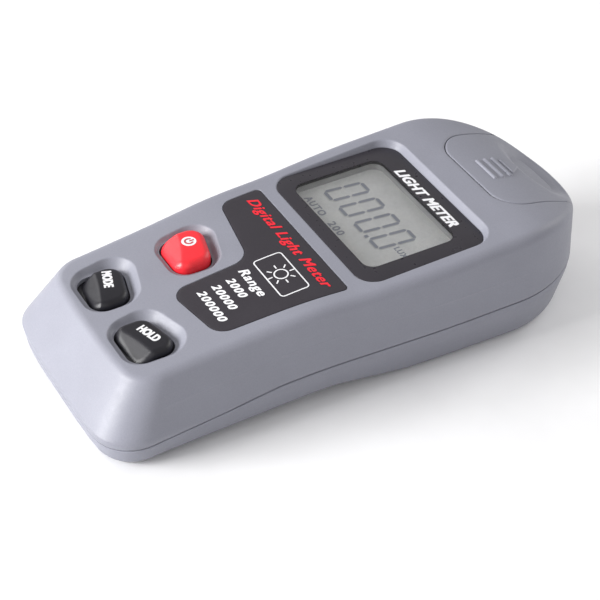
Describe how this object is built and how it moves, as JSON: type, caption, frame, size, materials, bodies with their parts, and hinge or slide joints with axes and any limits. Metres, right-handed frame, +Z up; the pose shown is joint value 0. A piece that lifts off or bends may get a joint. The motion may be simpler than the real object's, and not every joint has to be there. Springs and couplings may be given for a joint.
{
  "type": "handheld light meter",
  "caption": "Handheld light meter with a display window, a printed label, press keys, a sliding cover over its domed sensor and a battery door in its back.",
  "frame": {"origin": "on the surface the meter lies on, under the middle of its bounding box", "axes": "+Y along the meter from the handle toward the sensor, +Z up out of the display, +X to the right of the display"},
  "size_m": [0.0508, 0.1194, 0.0268],
  "materials": {
    "case_plastic": "fine satin texture",
    "cover_plastic": "fine satin texture",
    "label_film": "printed film with a soft gloss",
    "red_plastic": "smooth semi-gloss",
    "black_plastic": "smooth semi-gloss",
    "switch_plastic": "moulded",
    "clear_plastic": "polished",
    "tape": "matte",
    "display_glass": "satin polariser",
    "reflector_foil": "brushed foil",
    "contact_rubber": "matte",
    "frame_plastic": "moulded",
    "board_resin": "solder resist",
    "chip_resin": "moulded",
    "bright_steel": "plated",
    "filter_glass": "polished",
    "diffuser_plastic": "translucent, matte",
    "copper_wire": "tinned",
    "cell_jacket": "printed sleeve",
    "foam": "open foam",
    "screw_steel": "plated"
  },
  "bodies": {
    "case": {"front_case": "case_plastic", "rear_case": "case_plastic", "range_label": "label_film", "power_switch": "switch_plastic", "mode_switch": "switch_plastic", "hold_switch": "switch_plastic", "display_window": "clear_plastic", "window_tape": "tape", "lcd_panel": "display_glass", "lcd_reflector": "reflector_foil", "zebra_strips": "contact_rubber", "lcd_frame": "frame_plastic", "main_board": "board_resin", "meter_chip": "chip_resin", "quartz_crystal": "bright_steel", "electrolytic_capacitor": "bright_steel", "trim_pot": "switch_plastic", "smd_parts": "chip_resin", "sensor_board": "board_resin", "photodiode": "chip_resin", "sensor_filter": "filter_glass", "sensor_dome": "diffuser_plastic", "sensor_holder": "frame_plastic", "sensor_pins": "copper_wire", "cell_left": "cell_jacket", "cell_middle": "cell_jacket", "cell_right": "cell_jacket", "battery_plates": "bright_steel", "battery_springs": "bright_steel", "case_screws": "screw_steel", "board_screws": "screw_steel"},
    "power_key": {"power_button": "red_plastic", "power_plunger": "switch_plastic"},
    "mode_key": {"mode_button": "black_plastic", "mode_plunger": "switch_plastic"},
    "hold_key": {"hold_button": "black_plastic", "hold_plunger": "switch_plastic"},
    "cover": {"sensor_cover": "cover_plastic"},
    "door": {"battery_door": "case_plastic", "door_foam": "foam"}
  },
  "joints": [
    {"name": "power_press", "type": "slide", "parent": "case", "child": "power_key", "axis": [0, 0.0349, -0.9994], "range_m": [0, 0.0005], "stiffness_N_per_m": 2000, "springref_m": -0.0002},
    {"name": "mode_press", "type": "slide", "parent": "case", "child": "mode_key", "axis": [0, 0.0349, -0.9994], "range_m": [0, 0.0005], "stiffness_N_per_m": 2000, "springref_m": -0.0002},
    {"name": "hold_press", "type": "slide", "parent": "case", "child": "hold_key", "axis": [0, 0.0349, -0.9994], "range_m": [0, 0.0005], "stiffness_N_per_m": 2000, "springref_m": -0.0002},
    {"name": "cover_slide", "type": "slide", "parent": "case", "child": "cover", "axis": [0, 0.9994, 0.0349], "range_m": [0, 0.025]},
    {"name": "door_lift", "type": "slide", "parent": "case", "child": "door", "axis": [0, 0.0349, -0.9994], "range_m": [0, 0.012]}
  ]
}
